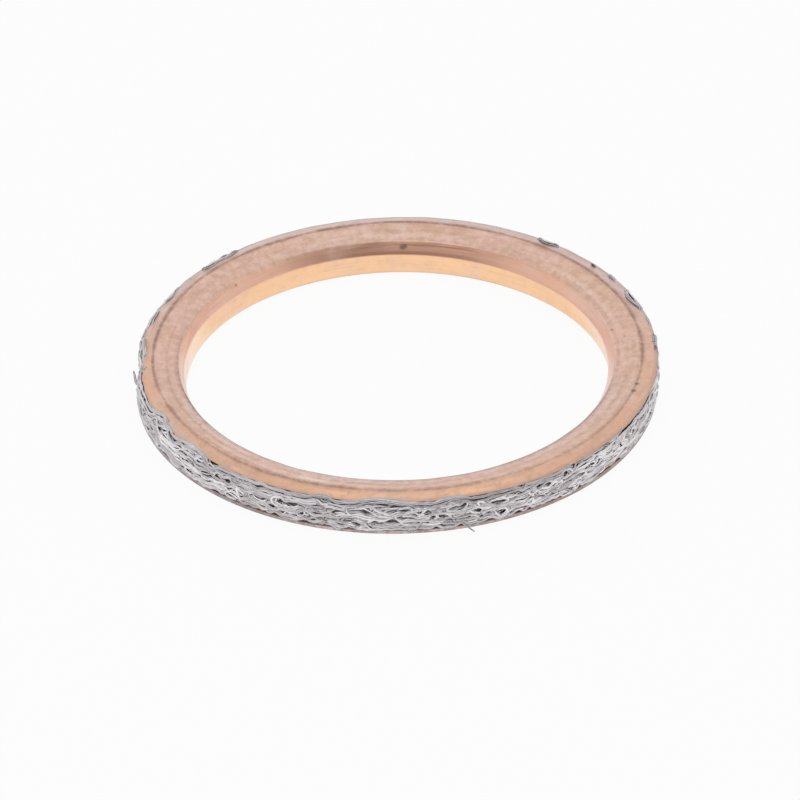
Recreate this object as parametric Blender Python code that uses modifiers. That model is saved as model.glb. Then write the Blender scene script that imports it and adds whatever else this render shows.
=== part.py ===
"""Exhaust port gasket: a ring of knitted wire pressed into a folded copper channel.

The ring lies flat on its base. +Z is up, the origin is on the ring's axis at
the level of the base, and every size is in metres.
"""

import math
import random

import bmesh
import bpy

# Ring
BORE_DIAMETER = 0.0356  # clear hole inside the copper wall
RING_WIDTH = 0.0042  # bore wall to the outer edge of the base
RING_HEIGHT = 0.00335  # base to the crown, the highest line of the top face

# Copper sheet and its folds
SHEET = 0.0003
BASE_BEND = 0.00045  # outside radius of the fold between bore and base
FLARE_WIDTH = 0.0006  # flare at the mouth of the bore, across the ring
FLARE_RISE = 0.00092  # and up it
FACE_RISE = 0.00049  # the top face climbs this much from the flare to the crown
CROWN_LAND = 0.0005  # from the inner edge of the flat land on the crown to the crease
CREASE_WIDTH = 0.00028  # line pressed into the sheet where the rim is rolled down
CREASE_DEPTH = 0.00006
RIM_INSET = 0.00028  # the rolled rim stops this far inside the base's edge
RIM_WIDTH = 0.0011  # band rolled down outside the crease
RIM_DROP = 0.00037
LIP_WIDTH = 0.0005  # outer edge of the base, turned up a little
LIP_RISE = 0.00008

# Knitted filler
FIT = 0.00006  # clearance between wire and copper
BULGE = 0.0001  # the knit swells this far past the base's edge
STRANDS = 4  # strands that show in the mouth of the channel
LOOPS = 34  # loops that each strand makes in a turn
WAVE = 0.95  # how far a strand swings towards its neighbour, 1 is half way
CROSSING = 0.00013  # distance kept between two strands where they touch
EYE_DEPTH = 0.00042  # depth of the hollow inside an open loop
EYE_WIDTH = 0.0007  # distance between two strands that gives the full depth
UNDER = 0.00008  # a strand dips this much where it passes under its neighbour
LAP = 0.00045  # the highest lobes of the knit lap this far up over the rim
LAP_LENGTH = 0.0019  # half the length of such a lobe

# Lobes of the knit: angle in degrees and share of the full lap
LOBES = (
    (10, 0.6),
    (24, 1.0),
    (33, 0.6),
    (54, 0.9),
    (132, 0.9),
    (138, 0.7),
    (152, 0.7),
    (161, 0.7),
    (172, 0.4),
    (204, 0.9),
    (218, 0.8),
    (235, 0.5),
    (252, 0.5),
    (266, 1.0),
    (282, 0.7),
    (308, 0.35),
    (330, 0.4),
)

TURNED_STEPS = 96
FOLD_STEPS = 3
KNIT_STEPS = 288
SEED = 7

BORE_RADIUS = BORE_DIAMETER / 2
EDGE_RADIUS = BORE_RADIUS + RING_WIDTH
RIM_RADIUS = EDGE_RADIUS - RIM_INSET
CROWN_RADIUS = RIM_RADIUS - RIM_WIDTH
SHOULDER_RADIUS = BORE_RADIUS + FLARE_WIDTH
SHOULDER_HEIGHT = RING_HEIGHT - FACE_RISE
WALL_HEIGHT = SHOULDER_HEIGHT - FLARE_RISE
RIM_HEIGHT = RING_HEIGHT - RIM_DROP


def clear_scene():
    for obj in list(bpy.data.objects):
        bpy.data.objects.remove(obj, do_unlink=True)


def new_collection(name):
    collection = bpy.data.collections.new(name)
    bpy.context.scene.collection.children.link(collection)
    return collection


def make_material(name, colour, metallic, roughness):
    material = bpy.data.materials.new(name)
    material.use_nodes = True
    shader = material.node_tree.nodes["Principled BSDF"]
    shader.inputs["Base Color"].default_value = (*colour, 1.0)
    shader.inputs["Metallic"].default_value = metallic
    shader.inputs["Roughness"].default_value = roughness
    return material


def arc(centre, radius, start, end, steps):
    """Points (radius, height) along an arc of a section, angles in degrees."""
    points = []
    for step in range(steps + 1):
        angle = math.radians(start + (end - start) * step / steps)
        points.append((centre[0] + radius * math.cos(angle), centre[1] + radius * math.sin(angle)))
    return points


def top_profile():
    """The copper's outer skin from the bore up over the top face to the rolled rim."""
    return [
        (BORE_RADIUS, WALL_HEIGHT),
        (SHOULDER_RADIUS, SHOULDER_HEIGHT),
        (CROWN_RADIUS - CROWN_LAND, RING_HEIGHT),
        (CROWN_RADIUS - CREASE_WIDTH / 2, RING_HEIGHT),
        (CROWN_RADIUS, RING_HEIGHT - CREASE_DEPTH),
        (CROWN_RADIUS + CREASE_WIDTH / 2, RING_HEIGHT - CREASE_DEPTH / 2),
        (RIM_RADIUS, RIM_HEIGHT),
    ]


def channel_profile():
    """The whole outer skin, from the edge of the base in to the bore and out over the top."""
    base = [(EDGE_RADIUS, LIP_RISE), (EDGE_RADIUS - LIP_WIDTH, 0.0)]
    fold = arc((BORE_RADIUS + BASE_BEND, BASE_BEND), BASE_BEND, 270, 180, FOLD_STEPS)
    return base + fold + top_profile()


def offset_profile(points, distance):
    """The profile moved to its right-hand side by a distance, with mitred corners."""
    normals = []
    for (r0, z0), (r1, z1) in zip(points, points[1:]):
        length = math.hypot(r1 - r0, z1 - z0)
        normals.append(((z1 - z0) / length, (r0 - r1) / length))
    moved = []
    for index, (radius, height) in enumerate(points):
        before = normals[max(index - 1, 0)]
        after = normals[min(index, len(normals) - 1)]
        mitre = (before[0] + after[0], before[1] + after[1])
        scale = 2 * distance / (mitre[0] ** 2 + mitre[1] ** 2)
        moved.append((radius + mitre[0] * scale, height + mitre[1] * scale))
    return moved


def make_jacket(collection):
    profile = channel_profile()
    mesh = bpy.data.meshes.new("copper_jacket")
    edges = [(index, index + 1) for index in range(len(profile) - 1)]
    mesh.from_pydata([(radius, 0.0, height) for radius, height in profile], edges, [])
    jacket = bpy.data.objects.new("copper_jacket", mesh)
    collection.objects.link(jacket)
    turn = jacket.modifiers.new("Turn", "SCREW")
    turn.axis = "Z"
    turn.steps = TURNED_STEPS
    turn.render_steps = TURNED_STEPS
    turn.use_merge_vertices = True
    turn.merge_threshold = 0.000001
    sheet = jacket.modifiers.new("Sheet", "SOLIDIFY")
    sheet.thickness = SHEET
    sheet.offset = -1.0
    sheet.use_even_offset = True
    jacket.data.materials.append(make_material("copper", (0.72, 0.42, 0.29), 1.0, 0.38))
    return jacket


def seeded_wave(source, slowest, fastest, count):
    """A smooth closed variation round the ring, between about -1 and 1."""
    terms = []
    for _ in range(count):
        terms.append((source.randint(slowest, fastest), source.uniform(0, 2 * math.pi)))
    return lambda angle: sum(math.sin(turns * angle + phase) for turns, phase in terms) / count ** 0.5


def lobe(angle):
    """1 on the highest lobes of the knit that lap over the rim, 0 between the lobes."""
    lift = 0.0
    for place, share in LOBES:
        turn = (angle - math.radians(place) + math.pi) % (2 * math.pi) - math.pi
        lift += share * math.exp(-((turn * EDGE_RADIUS / LAP_LENGTH) ** 2))
    return min(lift, 1.0)


def strand_heights(angle, waves, low, high):
    """Heights of the strands at one angle: each pair opens into an eye and closes again."""
    pitch = (high - low) / STRANDS
    heights = []
    for strand in range(STRANDS):
        phase_wave, swing_wave = waves[strand]
        phase = LOOPS * angle + strand * math.pi + 1.1 * phase_wave(angle)
        swing = WAVE * pitch / 2 * (1 + 0.18 * swing_wave(angle))
        if strand in (0, STRANDS - 1):
            swing = swing / 2
        heights.append(low + pitch * (strand + 0.5) + swing * math.cos(phase))
    for strand in range(1, STRANDS):
        middle = (heights[strand] + heights[strand - 1]) / 2
        half = max((heights[strand] - heights[strand - 1]) / 2, CROSSING / 2)
        heights[strand - 1] = middle - half
        heights[strand] = middle + half
    return heights


def knit_wall(angle, waves, low, high):
    """The outer wall at one angle, top to bottom: crests of the strands and the eyes between them."""
    heights = strand_heights(angle, waves, low, high)
    points = []
    for strand, height in enumerate(heights):
        level = (height - low) / (high - low)
        swell = BULGE * 4 * level * (1 - level)
        under = UNDER * math.cos(LOOPS * angle / 2 + strand * math.pi)
        crest = EDGE_RADIUS + swell + under
        if strand:
            gap = height - heights[strand - 1]
            depth = EYE_DEPTH * min(max(gap - CROSSING, 0.0) / (EYE_WIDTH - CROSSING), 1.0)
            points.append(((crest + last_crest) / 2 - depth, height - gap / 2))
        points.append((crest, height))
        last_crest = crest
    return points[::-1]


def make_filler(collection):
    source = random.Random(SEED)
    waves = [(seeded_wave(source, 2, 9, 4), seeded_wave(source, 5, 19, 4)) for _ in range(STRANDS)]
    inside = offset_profile(channel_floor(), SHEET + FIT)
    slope = (RIM_HEIGHT - RING_HEIGHT + CREASE_DEPTH) / RIM_WIDTH
    mouth_radius = RIM_RADIUS + FIT
    mouth_top = inside[-1][1] + slope * (mouth_radius - inside[-1][0])
    floor = SHEET + FIT + LIP_RISE
    sections = []
    for step in range(KNIT_STEPS):
        angle = 2 * math.pi * step / KNIT_STEPS
        high = RIM_HEIGHT - SHEET / 2 + LAP * lobe(angle)
        section = inside + [(mouth_radius, mouth_top), (mouth_radius, high)]
        section += knit_wall(angle, waves, floor, high)
        section.append((EDGE_RADIUS - LIP_WIDTH / 2, floor))
        sections.append((angle, section))
    filler = loft_ring("mesh_filler", sections)
    collection.objects.link(filler)
    filler.data.materials.append(make_material("knitted_wire", (0.55, 0.55, 0.54), 1.0, 0.42))
    return filler


def channel_floor():
    """The outer skin behind the filler, with flat cuts at the fold of the base and at the crease."""
    return [
        (EDGE_RADIUS - LIP_WIDTH, 0.0),
        (BORE_RADIUS + BASE_BEND, 0.0),
        (BORE_RADIUS, BASE_BEND),
        (BORE_RADIUS, WALL_HEIGHT),
        (SHOULDER_RADIUS, SHOULDER_HEIGHT),
        (CROWN_RADIUS - CROWN_LAND, RING_HEIGHT),
        (CROWN_RADIUS, RING_HEIGHT - CREASE_DEPTH),
        (RIM_RADIUS, RIM_HEIGHT),
    ]


def loft_ring(name, sections):
    """A closed ring through sections of (radius, height) points, each at its own angle."""
    form = bmesh.new()
    rings = []
    for angle, section in sections:
        ring = []
        for radius, height in section:
            ring.append(form.verts.new((radius * math.cos(angle), radius * math.sin(angle), height)))
        rings.append(ring)
    for index, ring in enumerate(rings):
        following = rings[(index + 1) % len(rings)]
        for place in range(len(ring)):
            beside = (place + 1) % len(ring)
            form.faces.new((ring[place], ring[beside], following[beside], following[place]))
    bmesh.ops.recalc_face_normals(form, faces=form.faces)
    mesh = bpy.data.meshes.new(name)
    form.to_mesh(mesh)
    form.free()
    mesh.shade_smooth()
    return bpy.data.objects.new(name, mesh)


clear_scene()
gasket = new_collection("exhaust_gasket")
make_jacket(gasket)
make_filler(gasket)
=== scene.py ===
import math
from functools import partial, reduce

import bpy
import numpy as np
from mathutils import Matrix, Vector


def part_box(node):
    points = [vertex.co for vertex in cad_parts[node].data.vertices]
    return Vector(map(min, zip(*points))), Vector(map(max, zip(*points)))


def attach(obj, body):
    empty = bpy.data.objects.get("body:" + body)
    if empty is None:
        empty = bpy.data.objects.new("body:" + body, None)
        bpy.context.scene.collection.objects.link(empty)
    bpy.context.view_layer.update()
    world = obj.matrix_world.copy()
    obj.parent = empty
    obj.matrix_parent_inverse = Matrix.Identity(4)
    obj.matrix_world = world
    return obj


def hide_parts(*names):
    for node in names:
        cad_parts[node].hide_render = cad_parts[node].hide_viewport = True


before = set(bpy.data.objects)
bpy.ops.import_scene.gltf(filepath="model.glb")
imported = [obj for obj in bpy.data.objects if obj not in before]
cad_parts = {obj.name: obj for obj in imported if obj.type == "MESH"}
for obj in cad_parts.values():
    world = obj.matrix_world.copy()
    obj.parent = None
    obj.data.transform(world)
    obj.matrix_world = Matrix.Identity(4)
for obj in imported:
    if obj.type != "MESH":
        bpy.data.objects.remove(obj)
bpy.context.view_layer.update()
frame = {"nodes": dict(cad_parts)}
print("frame loaded:", ", ".join(frame["nodes"]))

mm = 0.001

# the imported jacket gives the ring's outer edge, in mm
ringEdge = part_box("copper_jacket")[1][0] / mm
ringLap = 2 * math.pi * ringEdge


def makeMesh(name, points, faces, attributes=None):
    mesh = bpy.data.meshes.new(name)
    mesh.from_pydata([tuple(p) for p in points], [], [tuple(f) for f in faces])
    for key, values in (attributes or {}).items():
        kind = "FLOAT_VECTOR" if np.ndim(values) == 2 else "FLOAT"
        layer = mesh.attributes.new(key, kind, "POINT")
        layer.data.foreach_set("vector" if kind == "FLOAT_VECTOR" else "value", np.ravel(values))
    mesh.update()
    if faces:
        mesh.shade_smooth()
    obj = bpy.data.objects.new(name, mesh)
    bpy.context.scene.collection.objects.link(obj)
    return obj


# faces between the sections of a closed ring
def ringFaces(around, rows, turned=False):
    faces = []
    for a in range(around):
        b = (a + 1) % around
        for k in range(rows):
            m = (k + 1) % rows
            face = (a * rows + k, a * rows + m, b * rows + m, b * rows + k)
            faces.append(face[:1] + face[:0:-1] if turned else face)
    return faces


tree = None  # the node tree that the helpers below add to


def workOn(other):
    global tree
    tree = other


def feed(socket, value):
    if isinstance(value, bpy.types.NodeSocket):
        tree.links.new(value, socket)
    elif value is not None:
        socket.default_value = value


def addNode(kind, settings=None, **inputs):
    node = tree.nodes.new(kind)
    for key, value in (settings or {}).items():
        setattr(node, key, value)
    for key, value in inputs.items():
        feed(node.inputs[key.replace("_", " ")], value)
    return node


# first output of a geometry node
def geo(kind, settings=None, **inputs):
    return addNode("GeometryNode" + kind, settings, **inputs).outputs[0]


def calc(operation, *values):
    node = addNode("ShaderNodeMath", {"operation": operation})
    for socket, value in zip(node.inputs, values):
        feed(socket, value)
    return node.outputs[0]


minus, ratio, power, larger, smaller, cosine, sine = (
    partial(calc, kind) for kind in ("SUBTRACT", "DIVIDE", "POWER", "MAXIMUM", "MINIMUM", "COSINE", "SINE")
)


def total(*values):
    return reduce(partial(calc, "ADD"), values)


def product(*values):
    return reduce(partial(calc, "MULTIPLY"), values)


# 1 in the middle, 0 far from it
def hill(*offsets):
    return calc("EXPONENT", product(total(*(power(off, 2.0) for off in offsets)), -1.0))


def mapRange(value, low, high, newLow=0.0, newHigh=1.0, kind="SMOOTHSTEP"):
    node = addNode("ShaderNodeMapRange", {"interpolation_type": kind})
    for socket, entry in zip(node.inputs, (value, low, high, newLow, newHigh)):
        feed(socket, entry)
    return node.outputs[0]


def mmRange(value, low, high, newLow=0.0, newHigh=1.0):
    return mapRange(value, low * mm, high * mm, newLow, newHigh)


def vectorMath(operation, first, second=None, **inputs):
    node = addNode("ShaderNodeVectorMath", {"operation": operation}, **inputs)
    feed(node.inputs[0], first)
    feed(node.inputs[1], second)
    return node.outputs["Value" if operation in ("DISTANCE", "DOT_PRODUCT") else "Vector"]


def combine(x=0.0, y=0.0, z=0.0):
    return addNode("ShaderNodeCombineXYZ", X=x, Y=y, Z=z).outputs[0]


def split(vector):
    return addNode("ShaderNodeSeparateXYZ", Vector=vector).outputs


def noise(vector, scale, detail=3.0, roughness=0.5, extra=None):
    settings = {"noise_dimensions": "3D" if extra is None else "4D"}
    node = addNode("ShaderNodeTexNoise", settings, Vector=vector, Scale=scale, Detail=detail, Roughness=roughness)
    if extra is not None:
        feed(node.inputs["W"], extra)
    return node.outputs[0]


def mixColour(factor, first, second):
    node = addNode("ShaderNodeMix", {"data_type": "RGBA"})
    for key, value in (("Factor", factor), ("A", first), ("B", second)):
        feed(node.inputs[key], (*value, 1) if isinstance(value, tuple) else value)
    return node.outputs["Result"]


def newFinish(name):
    material = bpy.data.materials.new(name)
    material.use_nodes = True
    workOn(material.node_tree)
    return material, tree.nodes["Principled BSDF"].inputs, addNode("ShaderNodeTexCoord").outputs["Object"]


def dress(shader, colour, metallic, rough, relief, strength, depth):
    bump = addNode("ShaderNodeBump", Strength=strength, Distance=depth * mm, Height=relief).outputs[0]
    for key, value in (("Base Color", colour), ("Metallic", metallic), ("Roughness", rough), ("Normal", bump)):
        feed(shader[key], value)


# copper channel: base, bore wall, flare, top face, crown and rolled rim are one sheet
jacket = {
    "bore": 17.8,
    "baseFold": 0.45,  # outside radius of the fold between bore and base
    "wallTop": 1.98,
    "shoulder": (18.36, 2.86),
    "crownIn": (20.24, 3.35),
    "crown": (20.66, 3.35),
    "rim": (21.72, 2.96),
    "sheet": 0.3,
    "lipWidth": 0.5,
    "lipRise": 0.08,
    "around": 560,
    "spacing": 0.3,
    "topSpacing": 0.055,
    "flareShift": 0.15,  # the flare was pressed a little off centre
    "shoulderShift": (-0.1, 0.1),  # and the shoulder, in x and y
    # rim and lip stand off their circles: all round, to the right, at the front, as an oval, at the back
    "rimLean": (0.06, 0.09, -0.03, -0.04, 0.13),
    "lipLean": (-0.06, -0.11, 0.13, -0.07, 0.0),
    "backShift": (0.08, 0.04),  # the top stands a little further out and higher at the back
    "rimDent": (178.0, 140.0, 0.32),  # angle, sharpness, depth
    "creaseAt": 20.55,
    "creaseBow": (237.0, 0.13),  # the crease swings out at the left of the front
    "creaseDepth": 0.055,
    "creaseWidth": 0.15,
    "stainWidth": 0.145,
    "darkest": (256.0, 30.0),  # the crease is darkest here: angle and spread
    "secondCreaseAt": 20.2,
    # strength, angle and spread: where the crease is doubled, and how dark groove, shoulder and crease are; the
    # shoulder line is painted shade
    "doubled": [(1.0, 222, 24), (0.7, 352, 12), (0.8, 270, 15)],
    "grooveTone": [(-0.24, 318, 26)],
    "shoulderTone": [(0.8, 198, 16), (-0.5, 265, 28), (-0.35, 0, 10), (0.5, 28, 12)],
    "creaseTone": [(-0.22, 310, 34)],
    "beadHeight": 0.022,
    "edgeAt": 18.7,  # inner edge of the pressed face
    "shoulderAt": 18.44,  # painted shade: dark line along the hole
    "grooveAt": 19.42,
    "grooveDepth": 0.018,
    "seed": 11,
}


def waveOf(source, slowest, fastest, count):
    turns = source.integers(slowest, fastest + 1, count)
    phases = source.uniform(0, 2 * math.pi, count)
    return lambda angle: sum(np.sin(n * angle + p) for n, p in zip(turns, phases)) / math.sqrt(count)


def bell(angle, at, width):
    off = (math.degrees(angle) - at + 180) % 360 - 180
    return math.exp(-((off / width) ** 2))


def bells(angle, entries):
    return sum(strength * bell(angle, at, width) for strength, at, width in entries)


def ridge(off, width):
    return np.exp(-((off / width) ** 2))


def ramp(past, width):
    return np.clip(past / width, 0, 1)


def cosineTo(angle, at):
    return max(0.0, math.cos(angle - math.radians(at)))


def roundedPath(corners, radii, spacings):
    corners = [np.array(c, float) for c in corners]
    path = [(corners[0], 0)]
    for index in range(1, len(corners) - 1):
        before, corner, after = corners[index - 1 : index + 2]
        inLength, outLength = np.linalg.norm(before - corner), np.linalg.norm(after - corner)
        backward, forward = (before - corner) / inLength, (after - corner) / outLength
        half = math.acos(np.clip(backward @ forward, -1, 1)) / 2
        trim = min(radii[index - 1] / math.tan(half), 0.48 * inLength, 0.48 * outLength)
        start, end = corner + backward * trim, corner + forward * trim
        for t in np.linspace(0, 1, 6):
            path.append(((1 - t) ** 2 * start + 2 * t * (1 - t) * corner + t**2 * end, index - 1 if t == 0 else index))
    path.append((corners[-1], len(corners) - 2))
    rows = [path[0][0]]
    for (a, _), (b, leg) in zip(path, path[1:]):
        steps = max(1, round(np.linalg.norm(b - a) / spacings[leg]))
        rows += [a + (b - a) * s / steps for s in range(1, steps + 1)]
    return np.array(rows)


def leanAt(angle, lean):
    every, right, front, oval, back = lean
    ends = front * max(0.0, -math.sin(angle)) + back * max(0.0, math.sin(angle))
    return every + right * math.cos(angle) + ends + oval * math.cos(2 * angle)


def skinNormals(path):
    along = np.gradient(path, axis=0)
    along /= np.linalg.norm(along, axis=1)[:, None]
    return np.stack([-along[:, 1], along[:, 0]], axis=1)


def insetCorners(corners, distance):
    corners = np.array(corners, float)
    along = np.diff(corners, axis=0)
    along /= np.linalg.norm(along, axis=1)[:, None]
    inward = np.stack([along[:, 1], -along[:, 0]], axis=1)
    moved = []
    for index, corner in enumerate(corners):
        mitre = inward[max(index - 1, 0)] + inward[min(index, len(inward) - 1)]
        moved.append(corner + mitre * 2 * distance / (mitre @ mitre))
    return moved


def buildJacket():
    j = jacket
    source = np.random.default_rng(j["seed"])
    corners = [(ringEdge, j["lipRise"]), (ringEdge - j["lipWidth"], 0.0), (j["bore"], 0.0), (j["bore"], j["wallTop"])]
    corners += [j["shoulder"], j["crownIn"], j["crown"], j["rim"]]
    fine, coarse = j["topSpacing"], j["spacing"]
    outer = roundedPath(corners, (0.4, j["baseFold"], 0.5, 0.14, 0.4, 0.16), (coarse,) * 3 + (fine,) * 4)
    inner = roundedPath(insetCorners(corners, j["sheet"]), (0.4, 0.15, 0.3, 0.3, 0.4, 0.1), (0.6,) * 7)[::-1]
    outward = skinNormals(outer)
    rimFace = [outer[-1] * (1 - t) + inner[0] * t for t in (0.2, 0.5, 0.8)]
    lipFace = [inner[-1] * (1 - t) + outer[0] * t for t in (0.3, 0.7)]
    section = np.vstack([outer, rimFace, inner, lipFace])
    normal = np.zeros_like(section)
    normal[: len(outer)] = outward
    radius, height = section[:, 0], section[:, 1]
    onTop = np.zeros(len(section))
    onTop[: len(outer)] = outer[:, 1] > 2.5
    raised = ramp(height - 0.6, 0.8)

    crease, crumple, ripple = (waveOf(source, *w) for w in ((3, 9, 4), (9, 31, 6), (2, 7, 4)))
    deep, patch = waveOf(source, 2, 12, 5), waveOf(source, 5, 40, 8)
    angles = np.linspace(0, 2 * math.pi, j["around"], endpoint=False)
    bowAt, bow = j["creaseBow"]
    dentAt, sharpness, dent = j["rimDent"]
    points, lines = [], []
    for angle in angles:
        aside, ahead = math.cos(angle), math.sin(angle)
        behind = max(0.0, ahead)
        creaseAt = j["creaseAt"] + 0.05 * crease(angle) + bow * cosineTo(angle, bowAt) ** 16
        # the crease doubles and breaks at the left of the front
        doubled = bells(angle, j["doubled"])
        broken = 0.85 + 0.15 * math.tanh(2 * patch(angle) + 2 - 2.2 * doubled)
        line = (1 + 0.35 * deep(angle)) * broken * ridge(radius - creaseAt, j["creaseWidth"])
        darkest = bell(angle, *j["darkest"])
        stainWidth = j["stainWidth"] * (1.05 + 0.3 * patch(angle) + 0.5 * darkest + 0.65 * behind)
        stained = broken * ridge(radius - creaseAt + 0.06 * darkest, stainWidth)
        second = doubled * (0.5 + 0.5 * math.tanh(2 * patch(angle + 1)))
        second *= ridge(radius - j["secondCreaseAt"] + 0.04 * ripple(angle), 0.07)
        bead = ridge(radius - creaseAt + 0.3, 0.13) + 0.6 * ridge(radius - creaseAt - 0.17, 0.08)
        groove = (1 + 0.4 * ripple(angle)) * ridge(radius - j["grooveAt"] - 0.06 * ripple(angle), 0.15)
        edge = ridge(radius - j["edgeAt"] - 0.04 * crease(angle + 2), 0.12)
        # painted shade: the dark line along the shoulder
        shoulder = ridge(radius - j["shoulderAt"], 0.15) * (0.75 + 0.25 * deep(angle + 3))
        relief = -j["creaseDepth"] * (line + 0.6 * second) + j["beadHeight"] * bead
        relief += 0.006 * (patch(angle + radius * 0.3) + crumple(angle + radius * 0.05))
        relief = onTop * (relief - j["grooveDepth"] * groove - 0.02 * edge)
        backward = raised * behind * ramp(radius - j["bore"], 0.56)
        rimward = ramp(radius - 20.7, 0.9) * raised
        lipward = ramp(radius - 21.2, 0.6) * (height < 0.6)
        holeward = ramp(19.8 - radius, 1.3) * ramp(height - 2.2, 0.6)
        flareward = ramp(18.35 - radius, 0.4) * ramp(height - 1.0, 0.9)
        r = radius + normal[:, 0] * relief + backward * j["backShift"][0]
        dented = dent * cosineTo(angle, dentAt) ** sharpness
        r += rimward * (leanAt(angle, j["rimLean"]) - dented + 0.015 * crumple(angle * 2))
        r += lipward * leanAt(angle, j["lipLean"])
        r += holeward * (j["shoulderShift"][0] * aside + j["shoulderShift"][1] * ahead - 0.03)
        r += ramp(18.3 - radius, 0.4) * 0.01 * ripple(angle + 1) - flareward * j["flareShift"] * aside
        z = height + normal[:, 1] * relief + backward * j["backShift"][1]
        z += raised * 0.014 * ripple(angle) * (radius > 18.2) + rimward * 0.02 * crumple(angle)
        points.append(np.stack([r * aside, r * ahead, z], axis=1))
        # painted shade: the shoulder is darkest where it faces the front, and the doubled crease, groove and face edge
        # darken there too
        near = 0.5 - 0.5 * math.tanh(3 * ahead - 0.3)
        tarnishAndShade = (1 + (0.4 if ahead < 0 else -0.1) * ahead + 0.3 * darkest + bells(angle, j["creaseTone"])) * stained
        grooved, shoulderShadeStrength = 0.34 + bells(angle, j["grooveTone"]), 0.7 + bells(angle, j["shoulderTone"])
        tarnishAndShade += (0.25 + 0.6 * near) * (0.8 * second + grooved * groove + 0.26 * edge + shoulderShadeStrength * shoulder)
        lines.append(np.clip(tarnishAndShade, 0, 1.3) * onTop)
    faces = ringFaces(len(angles), len(section))
    obj = makeMesh("copperChannel", np.vstack(points) * mm, faces, {"pressedLine": np.concatenate(lines)})
    print("copper channel:", len(faces) * 2, "triangles")
    return obj


copper = {
    "fresh": (1.0, 0.635, 0.37),  # bore wall, rolled clean
    "worn": (1.0, 0.76, 0.57),  # painted sheen: bore wall, brightest at the left and right
    "flare": (0.85, 0.5, 0.36),
    "flareSide": (0.88, 0.58, 0.48),  # painted sheen: the flare is paler at the left and right
    # painted shade: the flare is darker at the back
    "flareBack": (0.63, 0.335, 0.235),
    # painted highlight: the rim band is paler pink at the back
    "bandBack": (0.68, 0.505, 0.47),
    "band": (0.79, 0.47, 0.325),  # rim band outside the crease
    "pressed": (0.76, 0.49, 0.365),  # top face, rubbed matt in the press
    "pink": (0.80, 0.51, 0.43),
    "inner": (0.8, 0.62, 0.59),  # top face next to the hole, at the front
    "orange": (1.0, 0.62, 0.38),
    "rust": (0.62, 0.38, 0.28),
    "ash": (0.36, 0.3, 0.31),  # painted shade: line along the front of the hole
    # the lip's copper is painted greyer and darker as contact shadow by the floor, darker still at the left and right
    "lip": (0.6, 0.52, 0.5),
    "lipRight": (0.46, 0.36, 0.345),
    "lipLeft": (0.36, 0.325, 0.35),
    "edge": (0.3, 0.225, 0.205),  # painted shade: cut edge of the sheet under the rim, also laid along the rim band's edge and on the lip
    "hollow": (0.34, 0.21, 0.19),  # painted shade: inside of the channel
    "line": (0.36, 0.2, 0.15),  # tarnish in the pressed lines, also painted shade along the shoulder
    "pale": (0.88, 0.67, 0.58),
    "chalk": (0.97, 0.76, 0.69),
    "brown": (0.6, 0.38, 0.27),
    "spot": (0.10, 0.06, 0.05),
    "roughness": (0.30, 0.46),
    # soft patches of another shade: angle, radius, half length in degrees, half width in mm, shade, strength
    "patches": [
        (240, 19.9, 17, 0.55, "pale", 0.95),
        (287, 19.9, 10, 0.5, "pale", 0.8),
        (188, 19.1, 7, 0.5, "rust", 0.5),
        (245, 19.0, 22, 0.35, "inner", 0.6),
        (330, 18.95, 12, 0.2, "rust", 0.3),
        (258, 21.25, 11, 0.4, "orange", 0.6),
        (288, 21.25, 12, 0.4, "orange", 0.75),
        (270, 21.3, 4, 0.3, "pale", 0.4),
        (326, 21.2, 16, 0.45, "rust", 0.35),
        (210, 21.35, 8, 0.3, "inner", 0.7),
        (195, 20.0, 9, 0.5, "rust", 0.5),
        (90, 19.0, 24, 0.4, "pale", 0.55),
        (30, 18.95, 18, 0.35, "pale", 0.5),
        (60, 19.3, 9, 0.6, "rust", 0.25),
        (150, 19.4, 12, 0.7, "rust", 0.4),
        (162, 19.2, 4, 0.35, "pink", 0.6),
        (4, 21.3, 10, 0.3, "pink", 0.5),
        (338, 19.9, 8, 0.4, "pink", 0.4),
        (300, 19.1, 7, 0.5, "rust", 0.5),
        (247, 19.9, 13, 0.5, "chalk", 0.6),
        (210, 20.0, 8, 0.5, "rust", 0.35),
        (118, 19.1, 10, 0.4, "pale", 0.6),
        (148, 18.15, 10, 0.2, "flare", 0.6),
        (268, 20.52, 9, 0.16, "line", 0.4),
        (197, 20.6, 9, 0.2, "rust", 0.4),
        (15, 19.5, 7, 0.5, "pink", 0.35),
        (180, 18.72, 14, 0.2, "rust", 0.55),
        (160, 18.68, 9, 0.2, "rust", 0.35),
        (24, 18.62, 12, 0.14, "rust", 0.6),
        (173.7, 20.6, 1.5, 0.15, "line", 0.4),
        (185.7, 20.58, 2.0, 0.18, "line", 0.45),
        (350, 18.9, 10, 0.4, "rust", 0.2),
    ],
    # small dark marks in the skin: x, y, z and radius in mm
    "marks": [
        (0.55, 18.12, 2.5, 0.3),
        (0.75, 18.15, 2.55, 0.22),
        (-2.6, 17.95, 2.0, 0.1),
        (-13.6, 12.4, 2.6, 0.13),
        (20.0, -4.84, 3.3, 0.23),
        (19.71, -5.9, 3.3, 0.25),
        (18.03, 4.1, 2.9, 0.12),
        (-16.6, -9.6, 3.1, 0.1),
    ],
    # scratches across the face: angle, inner and outer radius
    "scratches": [(358.7, 19.35, 20.35), (186.5, 18.9, 19.6), (41.0, 19.1, 19.5)],
}


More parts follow.
